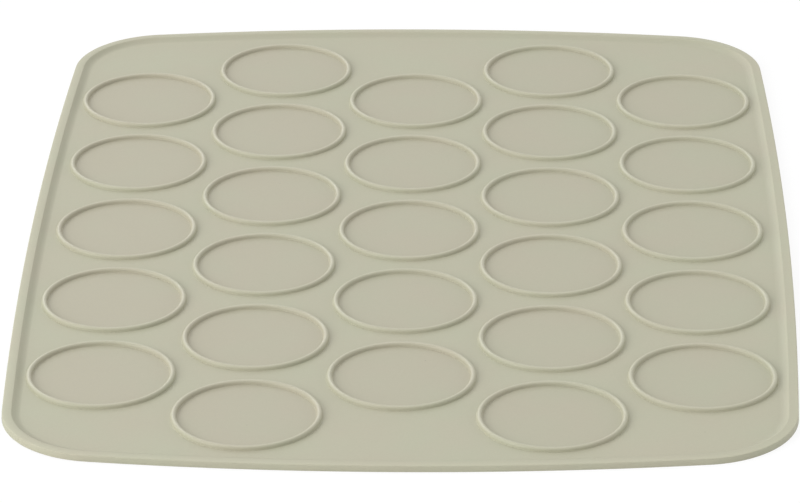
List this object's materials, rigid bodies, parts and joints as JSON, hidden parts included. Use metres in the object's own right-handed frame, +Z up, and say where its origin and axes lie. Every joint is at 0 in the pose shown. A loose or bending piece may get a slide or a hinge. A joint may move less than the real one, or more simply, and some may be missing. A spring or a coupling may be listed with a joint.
{
  "type": "baking mat",
  "caption": "Flexible silicone baking mat with a raised rim and staggered rows of raised rings for piping small round shells; it lies flat and curls up along the lines between its rings.",
  "frame": {"origin": "on the flat underside, under the middle of the mat's outline", "axes": "+Z up from the table, +Y along the mat from its front to its back, +X across it to the right"},
  "size_m": [0.28, 0.3834, 0.0026],
  "materials": {
    "silicone": "matte, fine-grained moulded food-grade silicone, sage beige"
  },
  "bodies": {
    "left": {"sheet_left": "silicone", "rim_left": "silicone", "rim_front_left_corner": "silicone", "rim_back_left_corner": "silicone", "ring_left_1": "silicone", "ring_left_2": "silicone", "ring_left_3": "silicone", "ring_left_4": "silicone", "ring_left_5": "silicone"},
    "mid_left": {"sheet_mid_left": "silicone", "rim_front_mid_left": "silicone", "rim_back_mid_left": "silicone", "ring_mid_left_1": "silicone", "ring_mid_left_2": "silicone", "ring_mid_left_3": "silicone", "ring_mid_left_4": "silicone", "ring_mid_left_5": "silicone", "ring_mid_left_6": "silicone"},
    "centre": {"sheet_centre": "silicone", "rim_front_centre": "silicone", "rim_back_centre": "silicone", "ring_centre_1": "silicone", "ring_centre_2": "silicone", "ring_centre_3": "silicone", "ring_centre_4": "silicone", "ring_centre_5": "silicone"},
    "mid_right": {"sheet_mid_right": "silicone", "rim_front_mid_right": "silicone", "rim_back_mid_right": "silicone", "ring_mid_right_1": "silicone", "ring_mid_right_2": "silicone", "ring_mid_right_3": "silicone", "ring_mid_right_4": "silicone", "ring_mid_right_5": "silicone", "ring_mid_right_6": "silicone"},
    "right": {"sheet_right": "silicone", "rim_right": "silicone", "rim_front_right_corner": "silicone", "rim_back_right_corner": "silicone", "ring_right_1": "silicone", "ring_right_2": "silicone", "ring_right_3": "silicone", "ring_right_4": "silicone", "ring_right_5": "silicone"}
  },
  "joints": [
    {"name": "bend_mid_left", "type": "hinge", "parent": "centre", "child": "mid_left", "pos_m": [-0.02615, 0, 0.0024], "axis": [0, 1, 0], "range_deg": [0, 60], "stiffness_Nm_per_rad": 0.005},
    {"name": "bend_left", "type": "hinge", "parent": "mid_left", "child": "left", "pos_m": [-0.07845, 0, 0.0024], "axis": [0, 1, 0], "range_deg": [0, 60], "stiffness_Nm_per_rad": 0.005},
    {"name": "bend_mid_right", "type": "hinge", "parent": "centre", "child": "mid_right", "pos_m": [0.02615, 0, 0.0024], "axis": [0, -1, 0], "range_deg": [0, 60], "stiffness_Nm_per_rad": 0.005},
    {"name": "bend_right", "type": "hinge", "parent": "mid_right", "child": "right", "pos_m": [0.07845, 0, 0.0024], "axis": [0, -1, 0], "range_deg": [0, 60], "stiffness_Nm_per_rad": 0.005}
  ]
}
